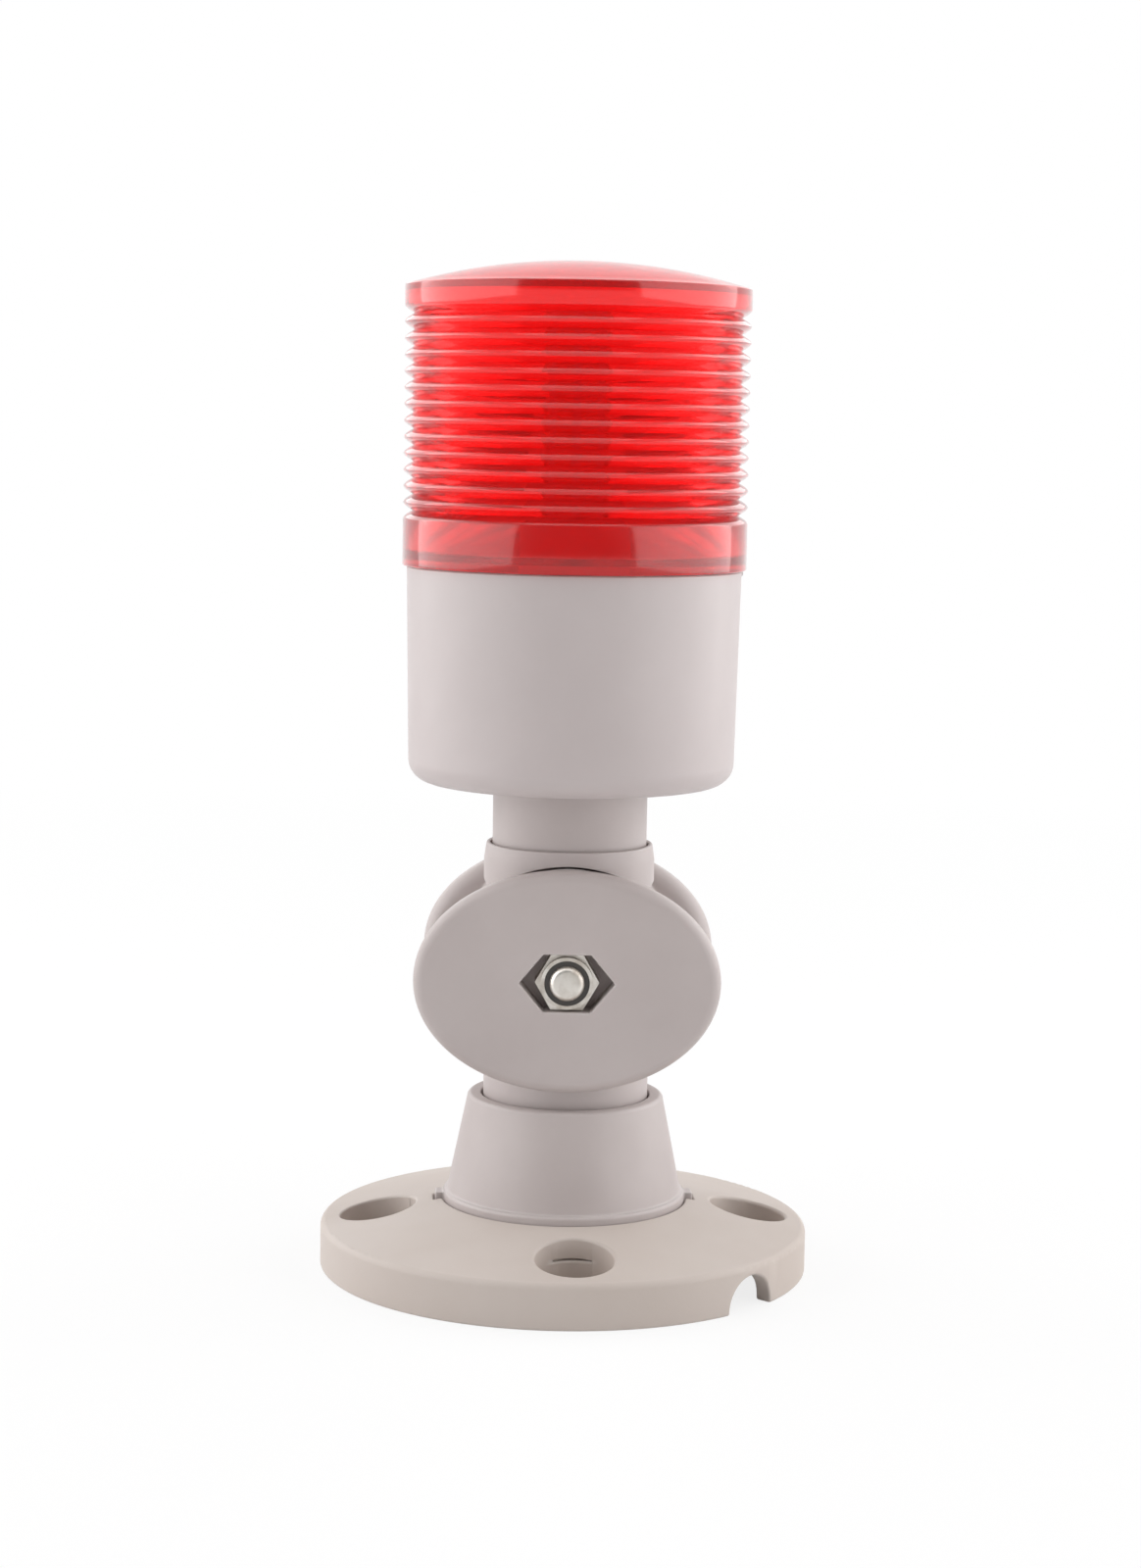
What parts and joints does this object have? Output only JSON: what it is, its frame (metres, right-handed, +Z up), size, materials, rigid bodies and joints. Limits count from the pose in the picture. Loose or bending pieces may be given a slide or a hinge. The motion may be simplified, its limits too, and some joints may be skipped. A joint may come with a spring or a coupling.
{
  "type": "stack light",
  "caption": "Single-tier red stack light: ribbed lens on a grey cup housing, folding knuckle, conical swivel socket and a round screw-down base plate.",
  "frame": {"origin": "centre of the base plate's underside", "axes": "+Z up along the lamp's axis; the knuckle folds about an axis along Y and its nut faces -Y"},
  "size_m": [0.072, 0.072, 0.1474],
  "materials": {
    "plate_beige": "fine satin texture",
    "knuckle_grey": "satin",
    "housing_grey": "semi-gloss",
    "lens_red": "clear tinted, polished",
    "steel": "zinc plated",
    "nut_nylon": "smooth",
    "friction_fibre": "pressed fibre",
    "gasket_rubber": "smooth",
    "carrier_white": "satin",
    "board_white": "solder resist",
    "board_green": "solder resist",
    "led_amber": "silicone over chip",
    "part_black": "moulded",
    "terminal_green": "moulded"
  },
  "bodies": {
    "base": {"base_plate": "plate_beige", "base_socket": "knuckle_grey", "socket_screws": "steel"},
    "knuckle": {"lower_yoke": "knuckle_grey", "swivel_washer": "steel", "swivel_nut": "steel", "friction_ring": "friction_fibre", "pivot_bolt": "steel", "bolt_washer": "steel", "lock_nut": "steel", "nut_insert": "nut_nylon"},
    "lamp": {"upper_yoke": "knuckle_grey", "neck_tube": "knuckle_grey", "collar_screws": "steel", "neck_nut": "steel", "housing": "housing_grey", "lens_seal": "gasket_rubber", "lamp_carrier": "carrier_white", "carrier_screws": "steel", "led_socket": "carrier_white", "led_boards": "board_white", "top_board": "board_white", "leds": "led_amber", "top_leds": "led_amber", "driver_board": "board_green", "board_spacers": "carrier_white", "capacitor": "part_black", "rectifier": "part_black", "resistors": "carrier_white", "terminal_block": "terminal_green"},
    "lens": {"lens": "lens_red"}
  },
  "joints": [
    {"name": "base_swivel", "type": "hinge", "parent": "base", "child": "knuckle", "pos_m": [0, 0, 0.0182], "axis": [0, 0, 1], "range_deg": [-165, 165]},
    {"name": "knuckle_fold", "type": "hinge", "parent": "knuckle", "child": "lamp", "pos_m": [0, 0, 0.04485], "axis": [0, 1, 0], "range_deg": [-90, 90]},
    {"name": "lens_twist", "type": "hinge", "parent": "lamp", "child": "lens", "pos_m": [0, 0, 0.1035], "axis": [0, 0, 1], "range_deg": [0, 20]}
  ]
}
